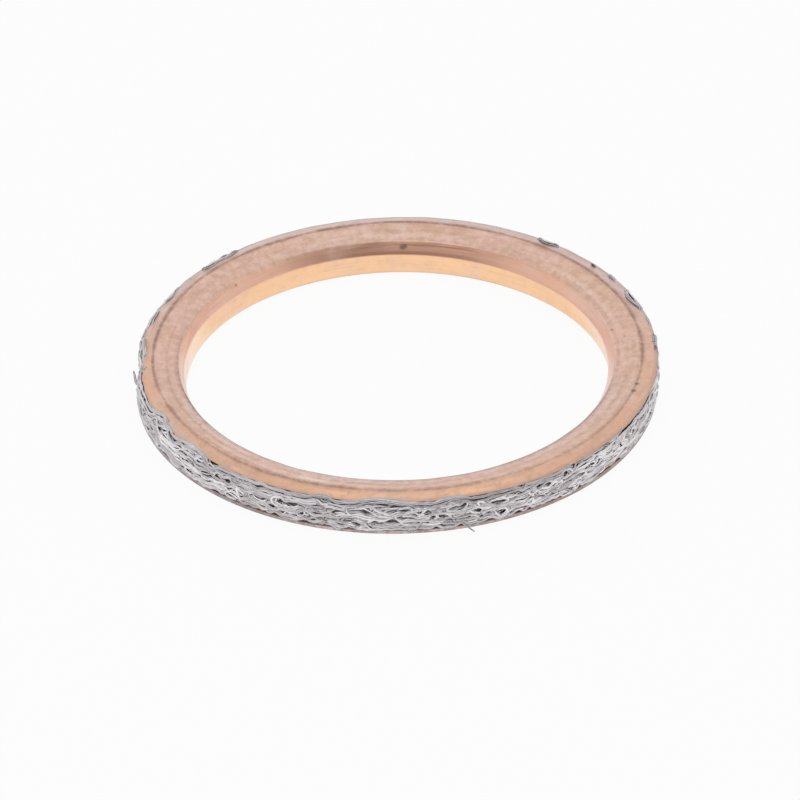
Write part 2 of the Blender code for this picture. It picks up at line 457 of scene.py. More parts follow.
def copperFinish():
    material, shader, place = newFinish("rolledCopper")
    x, y, z = split(place)
    radius = calc("SQRT", total(product(x, x), product(y, y)))
    angle = calc("ARCTAN2", y, x)
    behind = sine(angle)
    # the finish follows the top where it stands out at the back
    radius = total(radius, product(larger(behind, 0.0), -jacket["backShift"][0] * mm))
    pressedLine = addNode("ShaderNodeAttribute", {"attribute_name": "pressedLine"}).outputs["Fac"]
    # drawn streaks run round the ring: fine across it and long along it
    lineRoom = vectorMath("SCALE", combine(cosine(angle), behind), Scale=3.0)
    across = total(product(radius, 7000.0), product(z, 6100.0))
    streaks = noise(lineRoom, 1.0, 3.0, 0.5, across)
    fineStreaks = noise(lineRoom, 2.6, 2.0, 0.5, product(across, 3.3))
    cloud = noise(place, 330, 4.0, 0.55)
    mottle = noise(place, 1700, 4.0, 0.62)
    grit = noise(place, 6500, 3.0, 0.6)
    blotchRoom = combine(product(radius, 1500.0), product(angle, 9.0), product(z, 900.0))
    blotch = noise(blotchRoom, 1.0, 4.0, 0.6)

    onFace = product(mmRange(radius, 18.3, 18.5), mmRange(radius, 20.85, 20.6), mmRange(z, 2.3, 2.6))
    colour = mixColour(mmRange(radius, 20.4, 20.8), copper["fresh"], copper["band"])

    def angleFrom(at):
        return calc("WRAP", minus(angle, math.radians(at)), math.pi, -math.pi)

    def coat(shade, *factors):
        nonlocal colour
        colour = mixColour(product(*factors), colour, copper[shade])

    aside = calc("ABSOLUTE", cosine(angle))
    # painted sheen: the bore wall is paler at the left and right
    coat("worn", mapRange(aside, 0.86, 1.0), mmRange(radius, 18.6, 18.3))
    # painted highlight: the rim band is paler at the back
    coat("bandBack", mapRange(behind, -0.05, 0.5), mmRange(radius, 20.4, 20.8))
    inFront = mapRange(behind, 0.05, -0.5)
    onFlare = product(mmRange(z, 1.85, 2.0), mmRange(radius, 18.45, 18.3))
    # painted sheen on the flare at the left and right, painted shade at the back
    flare = mixColour(mapRange(aside, 0.7, 0.95), copper["flare"], copper["flareSide"])
    flare = mixColour(mapRange(behind, 0.82, 1.0), flare, copper["flareBack"])
    colour = mixColour(onFlare, colour, flare)
    coat("pressed", onFace)
    coat("inner", inFront, mmRange(radius, 19.6, 18.7), mmRange(radius, 18.2, 18.3))
    for at, middle, length, width, shade, strength in copper["patches"]:
        off = ratio(angleFrom(at), math.radians(length))
        there = hill(off, ratio(minus(radius, middle * mm), width * mm))
        coat(shade, there, mapRange(cloud, 0.3, 0.6, 0.6, 1.1), strength)
    warmth = noise(place, 190, 3.0, 0.6)
    colour = mixColour(mapRange(warmth, 0.42, 0.62, 0, 0.75), colour, mixColour(onFace, colour, copper["pink"]))
    coat("pale", mapRange(cloud, 0.46, 0.74, 0, 0.4))
    rubbed = mmRange(radius, 18.2, 18.4, 0.25, 1.0)
    coat("brown", rubbed, mapRange(blotch, 0.46, 0.68, 0, 0.48))
    coat("brown", rubbed, mapRange(mottle, 0.46, 0.66, 0, 0.5))
    coat("pale", onFace, mapRange(mottle, 0.5, 0.32, 0, 0.42))
    coat("line", mapRange(streaks, 0.54, 0.8, 0, 0.32))
    coat("pale", mapRange(fineStreaks, 0.56, 0.8, 0, 0.22))
    # tarnish in the pressed lines, with painted shade along the shoulder and at the front
    coat("line", pressedLine, mapRange(mottle, 0.32, 0.6, 0.58, 0.98))
    # painted shade along the shoulder at the front of the hole
    coat("ash", inFront, mmRange(radius, 18.46, 18.4), mmRange(radius, 18.2, 18.26), mmRange(z, 2.5, 2.7), 0.6)
    # painted shade: the band is darker along the edge of the rim, next to the knit
    coat("edge", mmRange(radius, 21.4, 21.8), mmRange(z, 2.8, 2.9), mapRange(cloud, 0.35, 0.65, 0.6, 1.0), 0.42)
    # painted shadow: the fold at the bottom of the bore is darker where it meets the floor
    coat("brown", mmRange(z, 0.42, 0.1), mmRange(radius, 18.4, 18.2), 0.4)
    spots = 0.0
    for px, py, pz, size in copper["marks"]:
        away = vectorMath("DISTANCE", place, (px * mm, py * mm, pz * mm))
        ragged = total(away, product(mottle, 0.16 * mm))
        spots = larger(spots, mmRange(ragged, size + 0.16, size * 0.4 + 0.06))
    coat("spot", spots, 0.7)
    for at, start, end in copper["scratches"]:
        ragged = total(product(angleFrom(at), radius), product(minus(mottle, 0.5), 0.5 * mm))
        ends = product(mmRange(radius, start, start + 0.3), mmRange(radius, end, end - 0.3))
        coat("line", hill(ratio(ragged, 0.07 * mm)), ends, 0.45)
    # painted contact shadow: the lip by the floor is darker, in blotches, more at the right
    lip = product(mmRange(z, 0.45, 0.36), mmRange(radius, 21.3, 21.6))
    toSide = cosine(angle)
    lipColour = mixColour(mapRange(toSide, 0.15, 0.5), copper["lip"], copper["lipRight"])
    lipColour = mixColour(mapRange(toSide, -0.25, -0.6), lipColour, copper["lipLeft"])
    colour = mixColour(product(lip, 0.92), colour, lipColour)
    lipShadeMottle = total(mottle, mapRange(toSide, 0.3, 0.6, 0.0, 0.06))
    coat("edge", lip, mapRange(lipShadeMottle, 0.42, 0.58, 0.0, 0.75))
    # painted shade: the cut edge of the rim, then the inside of the channel, which is dark
    coat("edge", mmRange(z, 2.93, 2.86), mmRange(z, 2.0, 2.3), mmRange(radius, 21.2, 21.3), 0.8)
    coat("hollow", mmRange(z, 0.3, 0.36), mmRange(z, 2.8, 2.7), mmRange(radius, 20.5, 21.0), 0.85)
    feed(shader["Coat Weight"], 0.5)
    feed(shader["Coat Roughness"], 0.28)
    rubs = total(cloud, product(streaks, 0.4), product(pressedLine, 0.25))
    rough = mapRange(rubs, 0.45, 1.0, *copper["roughness"])
    grain = total(product(streaks, 0.7), product(fineStreaks, 0.3), product(mottle, 0.5), product(grit, 0.25))
    dress(shader, colour, 1.0, rough, grain, 0.5, 0.02)
    return material


copperChannel = buildJacket()
copperChannel.data.materials.append(copperFinish())
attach(copperChannel, "root")
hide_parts("copper_jacket")
print("copper finished")


# knitted filler: flattened wires that run round the mouth of the channel, parted at the eyes
knit = {
    "wires": 10,
    "samples": 900,
    "sides": 6,
    "low": 0.3,
    "foot": 0.26,
    "high": 2.84,
    "wander": 0.8,
    "ripple": 0.5,
    "weave": 0.38,  # in and out of the wall
    "wireWidth": 0.37,
    "wireThickness": 0.15,
    "bulge": 0.05,
    "lapStart": 2.55,  # above this height the knit leans in, then up past the rim and over it
    # where the knit is pressed in, or out: angle, sharpness, depth
    "tucks": [(178.5, 300.0, 0.4), (8.0, 100.0, -0.14)],
    "topSway": 0.15,  # the wires next to the rim keep to it
    "seed": 4,
    # eyes between the wires: angle in degrees, height, half length in degrees, half height, tilt
    "eyes": [
        (191.5, 0.9, 2.2, 0.26, 0), (197, 0.75, 1.6, 0.15, 0), (202, 2.75, 2, 0.06, 0.2),
        (206.5, 2.95, 1.6, 0.05, 0.1), (207, 2.15, 2.2, 0.2, 0.05), (184, 1.9, 2.4, 0.16, -0.1),
        (188, 2.5, 2, 0.13, 0.1), (194.5, 1.9, 2, 0.13, -0.05), (200, 1.5, 1.8, 0.15, 0.1),
        (213, 1.2, 1.6, 0.14, 0.05), (211, 2.6, 1.4, 0.12, -0.1), (217.8, 0.95, 1.7, 0.16, 0),
        (220.5, 2.45, 1.3, 0.05, 0.1), (223.2, 1.7, 1.7, 0.18, 0.05), (224.5, 2.85, 2, 0.15, 0.05),
        (227, 2.2, 1.4, 0.18, -0.1), (229.7, 2.15, 0.9, 0.18, 0.1), (230.7, 0.9, 1.7, 0.17, 0.1),
        (233.3, 1.3, 1, 0.27, 0.5), (237.2, 1.6, 1.8, 0.18, -0.1), (237.6, 2.6, 1.6, 0.14, 0.3),
        (232.5, 0.62, 1, 0.12, 0), (241.3, 1.25, 1.6, 0.15, 0), (243.3, 1.9, 0.9, 0.34, 0.1),
        (246.5, 1.85, 2, 0.15, 0.2), (249, 1.2, 1.7, 0.27, -0.1), (253.3, 2.65, 1.2, 0.15, 0.1),
        (255.8, 1.9, 1.4, 0.15, 0), (260.8, 0.9, 1.6, 0.14, 0), (266.5, 2.3, 2.2, 0.08, 0.05),
        (263, 2.05, 1.5, 0.08, -0.1), (268.5, 2.2, 1.9, 0.22, 0.1), (268.3, 1.3, 2.1, 0.21, -0.05),
        (264.3, 1.2, 1.1, 0.12, 0.1), (271, 2.3, 1.5, 0.14, 0.2), (270.3, 1.65, 1.2, 0.13, -0.1),
        (274, 1.92, 0.9, 0.16, 0.3), (275.8, 2, 0.9, 0.18, 0.3), (277, 1.6, 0.9, 0.22, 0.2),
        (278.3, 1.5, 0.8, 0.14, 0.2), (279.3, 1.52, 1.3, 0.12, 0), (281.5, 2.2, 1.2, 0.12, 0.1),
        (284, 2.3, 1.3, 0.08, 0.6), (287.3, 1.62, 2, 0.14, -0.2), (291.5, 2, 2.5, 0.17, 0.05),
        (294, 2, 1.5, 0.1, 0.1), (292.8, 0.95, 1.3, 0.4, 0.3), (300.3, 2.1, 0.9, 0.15, 0.2),
        (297.6, 2.8, 1, 0.14, -0.3), (301.3, 2.25, 1, 0.16, 0.2), (304, 2.2, 1.4, 0.14, -0.1),
        (304.8, 1.05, 1.2, 0.15, 0.1), (309.3, 2.4, 1.5, 0.19, 0.1), (311.5, 2.8, 1.2, 0.16, 0.3),
        (313.3, 1.7, 2.1, 0.17, -0.2), (316.3, 1.5, 1.3, 0.15, 0), (316.7, 1.95, 1.1, 0.15, 0.1),
        (319, 1.9, 1.1, 0.2, 0.4), (327.8, 1.75, 1.5, 0.19, -0.1), (329.4, 1.9, 1.1, 0.16, 0.1),
        (331.7, 2, 1.3, 0.17, 0.2), (335.5, 2.2, 1.5, 0.25, 0.1), (340.5, 1.9, 1.2, 0.07, 0.1),
        (338.5, 0.75, 2, 0.15, 0), (345.5, 0.9, 1.8, 0.18, 0.1), (346, 2.2, 2.2, 0.18, 0), (352.5, 1.6, 2, 0.2, -0.1),
        (356, 2.5, 2, 0.16, 0), (310.2, 0.72, 1.3, 0.15, 0.1), (24.4, 2.7, 2.6, 0.3, 0.1), (53.7, 2.75, 2, 0.2, 0.1),
    ],
    # gaps along the base, where the copper shows: angle, half length, half height
    "footGaps": [
        (220.5, 1.6, 0.13), (226, 1.6, 0.16), (238.5, 1.8, 0.16), (242, 1.6, 0.22), (248.5, 1.9, 0.16),
        (252.5, 1.3, 0.14), (259, 1.4, 0.13), (278, 1.2, 0.12), (283.3, 1.5, 0.24), (290, 1.2, 0.16),
        (296.3, 1.5, 0.28), (299, 1, 0.16), (304.5, 1.4, 0.14), (313, 0.8, 0.3), (321, 2.9, 0.16), (326.5, 1.5, 0.24),
        (333, 1.6, 0.14), (341, 2, 0.16), (207, 1.8, 0.12), (200, 1.5, 0.1),
    ],
    # lobes that lap up over the rim: angle, half length in degrees, lift
    "lobes": [
        (204, 5.2, 0.6), (217.5, 6, 0.44), (235.5, 3.6, 0.05), (252.5, 3, 0.27), (265, 5.5, 0.47), (271, 4, 0.1),
        (281.5, 4, 0.24), (9, 7, 0.3), (23, 5, 0.88), (33, 3, 0.4), (53.7, 3.4, 0.74), (132, 4, 0.68), (137, 3, 0.56),
        (152, 4, 0.48), (161, 4, 0.4), (145, 13, 0.13), (172, 5, 0.32),
    ],
    # on the far side of the ring
    "spareEyes": 58,
    "spareGaps": 14,
    # two broken wires that stick out
    "looseEnds": [
        [(-21.7, -1.5, 1.62), (-21.98, -1.0, 1.7), (-22.08, -0.55, 1.78), (-22.13, -0.1, 1.9), (-22.2, 0.25, 2.02)],
        [(4.6, -21.3, 0.92), (5.0, -21.5, 0.76), (5.6, -21.8, 0.46), (5.9, -21.95, 0.27), (6.17, -22.08, 0.12)],
    ],
}

# a second layer, behind the first
underKnit = {
    "wires": 10,
    "samples": 520,
    "seed": 35,
    "depth": -0.17,
    "wander": 1.04,
    "wireWidth": 0.444,
}

# loops that stand on the outer wires: angle, height, reach, spread (mm), turn in degrees, lift
# a loop with no turn has its head to the right
stitches = {
    "placed": [
        (242.6, 1.9, 0.62, 0.42, 178, 0.09), (207.2, 1.66, 0.9, 0.2, 178, 0.1), (232.9, 1.55, 0.45, 0.2, 130, 0.1),
        (288, 2.15, 0.5, 0.2, 140, 0.09), (299, 1, 0.6, 0.24, 40, 0.08), (285.2, 0.95, 0.8, 0.3, 0, 0.05),
        (271.8, 1.2, 0.7, 0.24, 180, 0.05), (306.5, 1.6, 0.7, 0.26, 35, 0.06), (312, 1.1, 0.6, 0.24, 20, 0.07),
        (24.4, 3, 1, 0.3, 4, 0.04), (53.7, 3.05, 0.8, 0.26, 172, 0.05), (33, 2.95, 0.6, 0.22, 20, 0.05),
        (203.5, 2.75, 0.7, 0.2, 165, 0.03), (206.5, 2.6, 0.6, 0.16, 20, 0.03), (214.5, 2.8, 0.7, 0.16, 0, 0.03),
        (221, 2.75, 0.6, 0.15, 180, 0.03), (218.4, 2.62, 0.75, 0.2, 8, 0), (217.2, 2.85, 0.6, 0.18, 170, 0),
        (219.8, 2.85, 0.55, 0.18, 15, 0), (265.5, 2.45, 0.8, 0.22, 175, 0), (132, 2.9, 0.9, 0.24, 0, 0.05),
        (136.5, 2.9, 0.7, 0.2, 165, 0.05), (152, 2.8, 0.8, 0.2, 0, 0.05), (292.6, 0.95, 0.5, 0.42, 20, 0.08),
    ],
    "count": 1050,
    "reach": (0.3, 1.0),
    "spread": (0.13, 0.34),
    "wireWidth": 0.3,
    "wireThickness": 0.13,
    "bow": 152.0,
    "points": 10,
    "sides": 5,
    "seed": 23,
}

# bright strands with a painted highlight in their tone: angle, height, half length in mm, slope in degrees
strands = {
    "placed": [
        (205.8, 2.21, 1.11, -10), (208.1, 2.09, 1.31, 2), (211.4, 2.22, 1.06, 2), (214.6, 1.2, 1.21, -3),
        (216.8, 1.65, 1.04, 4), (224.1, 2.7, 0.69, -1), (227.2, 2.54, 0.57, 4), (229.1, 1.38, 0.48, -18),
        (233, 1.11, 0.43, -67), (231.1, 0.95, 0.72, -11), (238, 1.67, 0.74, -7), (243.5, 1.64, 0.54, -21),
        (245.6, 1.81, 0.77, 5), (256.9, 1.91, 0.47, 4), (258.7, 2.07, 0.32, -58), (263.4, 2.23, 0.8, -30),
        (267.4, 1.9, 0.84, 5), (271.4, 1.83, 0.42, 4), (274.1, 2.03, 0.51, -18), (274.6, 1.98, 0.39, 36),
        (277.7, 1.6, 0.27, 49), (278, 1.61, 0.31, -39), (284.1, 2.23, 0.44, 48), (287.3, 1.91, 0.53, -35),
        (294.2, 2.35, 0.85, -6), (291.6, 2.34, 0.92, 9), (291.5, 0.94, 0.47, -51), (293.3, 0.88, 0.5, 39),
        (303.1, 1.62, 0.51, 12), (306.6, 2.38, 0.44, -1), (308.8, 0.53, 0.5, 5), (300.9, 1.97, 0.36, 22),
        (317.8, 2.01, 0.54, 15), (315.5, 2.29, 0.45, -6), (325.1, 2.11, 0.5, 5), (329, 0.68, 0.62, -6),
        (332.2, 2.21, 0.48, 49), (313.6, 1.85, 0.49, -12), (320.2, 0.8, 0.46, 13), (312, 0.62, 0.33, 30),
        (297.6, 1.6, 0.47, -3), (296.7, 0.74, 0.47, 2),
    ],
    "count": 150,
    "wireWidth": 0.14,
    "wireThickness": 0.12,
    "bow": 62.0,
    "points": 8,
    "sides": 5,
    "seed": 31,
}


def newTree(name, entries):
    workOn(bpy.data.node_groups.new(name, "GeometryNodeTree"))
    for way in ("INPUT", "OUTPUT"):
        tree.interface.new_socket(name="Geometry", in_out=way, socket_type="NodeSocketGeometry")
    for kind, labels in entries:
        for label in labels:
            tree.interface.new_socket(name=label, in_out="INPUT", socket_type="NodeSocket" + kind)
    return tree.nodes.new("NodeGroupInput").outputs, tree.nodes.new("NodeGroupOutput").inputs[0]


# an input such as Wire Width takes the value under wireWidth
def growFrom(guide, group, name, settings):
    modifier = guide.modifiers.new(name, "NODES")
    modifier.node_group = group
    for item in group.interface.items_tree:
        key = item.name[0].lower() + item.name[1:].replace(" ", "")
        if item.in_out == "INPUT" and key in settings:
            modifier[item.identifier] = settings[key]
    graph = bpy.context.evaluated_depsgraph_get()
    mesh = bpy.data.meshes.new_from_object(guide.evaluated_get(graph))
    mesh.name = name
    obj = bpy.data.objects.new(name, mesh)
    bpy.context.scene.collection.objects.link(obj)
    bpy.data.objects.remove(guide, do_unlink=True)
    triangles = sum(len(p.vertices) - 2 for p in mesh.polygons)
    print(name + ":", triangles, "triangles")
    return obj


def keep(geometry, name, value):
    settings = {"data_type": "FLOAT", "domain": "POINT"}
    return geo("StoreNamedAttribute", settings, Geometry=geometry, Name=name, Value=value)


def recall(kind, name):
    return geo("InputNamedAttribute", {"data_type": kind}, Name=name)


def leanNodes(angle, lean):
    every, right, front, oval, back = lean
    ahead = larger(product(sine(angle), -1.0), 0.0)
    behind = larger(sine(angle), 0.0)
    sides = product(cosine(product(angle, 2.0)), oval)
    return total(every, product(cosine(angle), right), product(ahead, front), product(behind, back), sides)


def rollUp(curves, given):
    along, out, up = split(geo("InputPosition"))
    angle = ratio(along, given["Ring Radius"])
    # it leans in towards the edge of the rim, goes up past that edge, then lies on the rim band
    legs = []
    for first, last in ((0.0, 0.4), (0.4, 0.58), (0.58, 2.0)):
        past = minus(up, total(given["Lap Start"], first))
        legs.append(smaller(larger(past, 0.0), last - first))
    under, beside, over = legs
    lean = mapRange(total(under, beside, over), 0.1, 0.7)
    share = ratio(up, given["High"])
    swell = product(larger(product(share, minus(1.0, share)), 0.0), 4.0, given["Bulge"])
    foot, rim = leanNodes(angle, jacket["lipLean"]), leanNodes(angle, jacket["rimLean"])
    shift = total(product(foot, minus(1.0, lean)), product(total(rim, 0.1), lean))
    radius = total(given["Ring Radius"], -0.06, swell, shift, product(out, minus(1.0, product(lean, 0.6))))
    radius = total(radius, product(under, -0.72), product(beside, -0.2), product(over, -0.945))
    for place, sharpness, depth in knit["tucks"]:
        facing = larger(cosine(minus(angle, math.radians(place))), 0.0)
        radius = total(radius, product(power(facing, sharpness), -depth))
    height = total(up, product(under, -0.08), product(over, -0.675), product(out, lean, 0.4))
    height = larger(height, given["Foot"])
    ring = combine(product(radius, cosine(angle)), product(radius, sine(angle)), height)
    ring = vectorMath("SCALE", ring, Scale=mm)
    # the depth is kept for the painted shade on wires deep in the channel
    kept = keep(curves, "depth", product(out, -1.0))
    return geo("SetPosition", Geometry=kept, Position=ring)


def sweep(curves, given, scale, tone):
    # the flat of each wire faces out of the ring, and tips up where it laps the rim
    x, y, z = split(geo("InputPosition"))
    radius = calc("SQRT", total(product(x, x), product(y, y)))
    outward = vectorMath("NORMALIZE", combine(x, y, product(radius, mmRange(z, 2.6, 3.1))))
    turned = geo("SetCurveNormal", {"mode": "FREE"}, Curve=curves, Normal=outward)
    toned = keep(turned, "tone", tone)
    disc = geo("CurvePrimitiveCircle", Resolution=given["Sides"], Radius=0.5 * mm)
    flat = combine(given["Wire Thickness"], given["Wire Width"], 1.0)
    oval = geo("Transform", Geometry=disc, Scale=flat)
    tube = geo("CurveToMesh", Curve=toned, Profile_Curve=oval, Scale=scale, Fill_Caps=True)
    smooth = geo("SetShadeSmooth", Geometry=tube)
    real = geo("RealizeInstances", Geometry=smooth)
    return geo("SetMaterial", Geometry=real, Material=given["Finish"])


wallInputs = [
    ("Float", ["Ring Radius", "High", "Bulge", "Lap Start", "Foot", "Wire Width", "Wire Thickness"]),
    ("Int", ["Sides"]),
    ("Material", ["Finish"]),
]


def wrapTree():
    ownInputs = [("Int", ["Wires", "Samples", "Seed"]), ("Float", ["Low", "Wander", "Ripple", "Weave", "Depth"])]
    given, out = newTree("wiresRoundTheMouth", wallInputs + ownInputs)
    guide = given["Geometry"]
    loop = geo("CurvePrimitiveCircle", Resolution=given["Samples"], Radius=1.0)
    wires = addNode("GeometryNodeDuplicateElements", {"domain": "SPLINE"}, Geometry=loop, Amount=given["Wires"])
    wire = wires.outputs["Duplicate Index"]
    step = tree.nodes.new("GeometryNodeSplineParameter").outputs["Index"]
    turn = ratio(step, given["Samples"])
    angle = product(turn, 2 * math.pi)
    ringLength = product(given["Ring Radius"], 2 * math.pi)
    ringWay = combine(cosine(angle), sine(angle), 0.0)

    def sway(scale, detail, offset):
        place = total(product(wire, 4.31), given["Seed"], offset)
        return minus(noise(ringWay, scale, detail, 0.5, place), 0.5)

    level = ratio(total(wire, 0.75), given["Wires"])
    base = total(given["Low"], product(level, minus(given["High"], given["Low"])))
    loose = mapRange(level, 0.5, 1.0, 1.0, knit["topSway"])
    bend = total(product(sway(5.5, 1.0, 0.0), given["Wander"]), product(sway(24.0, 1.0, 50.0), given["Ripple"]))
    height = total(base, product(bend, loose))
    height = smaller(larger(height, given["Low"]), given["High"])
    outAway = total(given["Depth"], product(sway(13.0, 1.0, 90.0), given["Weave"]))
    flat = combine(product(turn, ringLength), outAway, height)
    laid = geo("SetPosition", Geometry=wires.outputs[0], Position=flat)

    # each eye of the guide parts the wires in its turn
    start, end = tree.nodes.new("GeometryNodeRepeatInput"), tree.nodes.new("GeometryNodeRepeatOutput")
    start.pair_with_output(end)
    count = addNode("GeometryNodeAttributeDomainSize", Geometry=guide)
    feed(start.inputs["Iterations"], count.outputs["Point Count"])
    feed(start.inputs["Geometry"], laid)
    now, turnNow = start.outputs["Geometry"], start.outputs["Iteration"]
    here = geo("InputPosition")

    def sample(geometry, field, index):
        return split(geo("SampleIndex", {"data_type": "FLOAT_VECTOR"}, Geometry=geometry, Value=field, Index=index))

    shape = recall("FLOAT_VECTOR", "shape")
    eyeAlong, reach, eyeUp = sample(guide, here, turnNow)
    opening, tilt, lift = sample(guide, shape, turnNow)
    along, _, up = split(here)
    beside = calc("WRAP", minus(along, eyeAlong), product(ringLength, 0.5), product(ringLength, -0.5))
    nearness = power(ratio(beside, reach), 2.0)
    fall = power(larger(minus(1.0, nearness), 0.0), 2.0)
    nearest = calc("ROUND", product(ratio(eyeAlong, ringLength), given["Samples"]))
    nearest = calc("FLOORED_MODULO", nearest, given["Samples"])
    own = sample(now, here, total(product(wire, given["Samples"]), nearest))[2]
    above = minus(own, eyeUp)
    fade = calc("EXPONENT", product(calc("ABSOLUTE", above), -3.6))
    rising = mapRange(up, minus(given["High"], 1.3), given["High"])
    # the wires at the rim and at the foot have little room to move
    roomUp = mapRange(own, minus(given["High"], 0.5), given["High"], 1.0, 0.25)
    roomDown = mapRange(own, total(given["Low"], 0.4), given["Low"], 1.0, 0.25)
    upward = product(calc("GREATER_THAN", above, 0.0), roomUp)
    away = total(upward, product(calc("LESS_THAN", above, 0.0), -1.0, roomDown))
    push = total(product(opening, away, fade), product(tilt, beside, fade), product(lift, rising))
    push = product(fall, push)
    swell = product(fall, fade, 0.045, calc("SIGN", opening))
    moved = geo("SetPosition", Geometry=now, Offset=combine(0.0, swell, push))
    feed(end.inputs["Geometry"], moved)

    rolled = rollUp(end.outputs["Geometry"], given)
    girth = mapRange(sway(28.0, 1.0, 130.0), -0.25, 0.25, 0.6, 1.25, "LINEAR")
    tone = total(product(sway(3.0, 1.0, 170.0), 1.6), 0.5)
    feed(out, sweep(rolled, given, girth, tone))
    return tree


def stitchTree():
    given, out = newTree("loopsOnTheWall", wallInputs + [("Int", ["Points"]), ("Float", ["Bow"])])
    line = geo("MeshLine", Count=given["Points"])
    thread = geo("MeshToCurve", Mesh=line)
    share = tree.nodes.new("GeometryNodeSplineParameter").outputs["Factor"]
    swing = product(minus(share, 0.5), 2.0)
    bow = calc("RADIANS", given["Bow"])
    angle = product(swing, bow)
    middle = product(total(cosine(bow), 1.0), 0.5)
    # the two legs come together and sink into the wall behind the head
    sunk = product(power(calc("ABSOLUTE", swing), 3.0), -0.2)
    loop = combine(minus(cosine(angle), middle), sunk, sine(angle))
    bent = geo("SetPosition", Geometry=thread, Position=loop)
    points = geo("MeshToPoints", Mesh=given["Geometry"])
    shape = recall("FLOAT_VECTOR", "shape")
    reach, spread, turn = split(shape)
    facing = addNode("FunctionNodeEulerToRotation", Euler=combine(0.0, product(turn, -1.0), 0.0))
    size = combine(reach, 1.0, spread)
    scattered = geo("InstanceOnPoints", Points=points, Instance=bent, Rotation=facing.outputs[0], Scale=size)
    real = geo("RealizeInstances", Geometry=scattered)
    rolled = rollUp(real, given)
    tone = recall("FLOAT", "shade")
    feed(out, sweep(rolled, given, 1.0, tone))
    return tree


degree = ringLap / 360  # length of one degree along the wall


def makeGuide(name, rows):
    places, shapes, shades = zip(*rows)
    return makeMesh(name, places, [], {"shape": shapes, "shade": shades})


# the wires part by the eye's own opening and their half width
def eyeGuide(wide):
    k = knit
    source = np.random.default_rng(k["seed"])
    rows = []

    def add(angle, height, half, opening, tilt=0.0, lift=0.0):
        rows.append(((angle * degree, half * degree, height), (opening, tilt, lift), 0.0))

    for angle, height, half, opening, tilt in k["eyes"]:
        add(angle, height, half * 1.25, opening * 0.8 + wide, tilt)
    for angle, half, opening in k["footGaps"]:
        add(angle, 0.28, half * 1.25, opening * 1.6 + wide + 0.08)
    for n in range(k["spareEyes"]):
        angle = (n + source.uniform(0, 0.9)) * 178 / k["spareEyes"]
        height, half = source.uniform(0.6, 2.9), source.uniform(1.2, 2.8)
        add(angle, height, half, source.uniform(0.1, 0.22) + wide, source.uniform(-0.2, 0.25))
    for n in range(k["spareGaps"]):
        add((n + source.uniform(0, 0.8)) * 13, 0.28, source.uniform(1.4, 3.0), source.uniform(0.3, 0.6))
    for angle, half, lift in k["lobes"]:
        add(angle, 3.0, half * 1.2, 0.0, lift=lift)
    return makeGuide("eyeGuide", rows)


def stitchGuide():
    s = stitches
    source = np.random.default_rng(s["seed"])
    rows = []

    def add(angle, height, out, reach, spread, turn, shade):
        rows.append(((angle * degree, out, height), (reach, spread, math.radians(turn)), shade))

    for angle, height, reach, spread, turn, lift in s["placed"]:
        add(angle, height, lift, reach, spread, turn, 0.8)
    # two of three eyes have a loop round them
    for n, (angle, height, half, opening, tilt) in enumerate(knit["eyes"]):
        if n % 3 and height < 2.45:
            turn = 180 * (n % 2) + math.degrees(math.atan(tilt))
            add(angle, height, 0.06, half * degree + 0.12, opening + 0.13, turn, source.uniform(0.3, 0.8))
    for n in range(s["count"]):
        angle, height = (n + source.uniform(0, 1)) * 360 / s["count"], source.uniform(0.55, 2.4)
        turn = 180 * source.integers(0, 2) + source.normal(0, 42)
        # the loops are larger and fewer towards the sides
        aside = abs(math.cos(math.radians(angle)))
        reach = source.uniform(*s["reach"]) * (1 + 0.45 * aside)
        spread = source.uniform(*s["spread"]) * (1 + 0.3 * aside)
        if source.uniform() < 0.55 * aside:
            continue
        out, shade = source.uniform(-0.08, 0.06), source.uniform(0.0, 0.65)
        clear = all(abs(angle - e[0]) > e[2] + 0.8 or abs(height - e[1]) > e[3] + 0.22 for e in knit["eyes"])
        if clear and all(abs(angle - g[0]) > g[1] + 0.8 or height > 1.0 for g in knit["footGaps"]):
            add(angle, height, out, reach, spread, turn, shade)
    return makeGuide("stitchGuide", rows)


def strandGuide():
    s = strands
    source = np.random.default_rng(s["seed"])
    rows = []

    def add(angle, height, half, slope, bend, shade):
        turn = math.radians(slope + (90 if bend > 0 else -90))
        out = 0.13 if height < 2.4 else 0.06
        rows.append(((angle * degree, out, height), (abs(bend) * 2, half / 0.88, turn), shade))

    for n, (angle, height, half, slope) in enumerate(s["placed"]):
        # the placed strands get the brightest tone, a painted highlight
        add(angle, height, half, slope, (0.12 if n % 2 else -0.12) * half / 0.5, 1.0)
    for n in range(s["count"]):
        half, height = source.uniform(0.25, 0.8), source.uniform(0.5, 2.6)
        slope = source.normal(0, 22 if height < 2.4 else 9)
        angle, bend = (n + source.uniform(0, 1)) * 360 / s["count"], source.uniform(-0.2, 0.2) * half
        add(angle, height, half, slope, bend, source.uniform(0.3, 0.9))
    return makeGuide("strandGuide", rows)


steel = {
    "bright": (0.95, 0.92, 0.94),
    "dull": (0.46, 0.435, 0.44),
    # painted shade for wires deep in the channel
    "deep": (0.56, 0.54, 0.52),
    "rimShade": (0.5, 0.475, 0.51),  # painted shade: the strands under the rim are darker and greyer
    "roughness": (0.26, 0.42),
}

# the knit that is seen down in the eyes
packing = {
    "light": (0.93, 0.91, 0.88),
    "dark": (0.72, 0.7, 0.67),
    "roughness": (0.6, 0.45),
    "lumps": 0.05,
    "around": 400,
    # radius and height
    "section": [
        (20.9, 0.45), (21.4, 0.46), (21.66, 0.7), (21.74, 1.2), (21.75, 1.7),
        (21.72, 2.2), (21.6, 2.5), (21.5, 2.64), (20.9, 2.78), (20.7, 1.6),
    ],
}


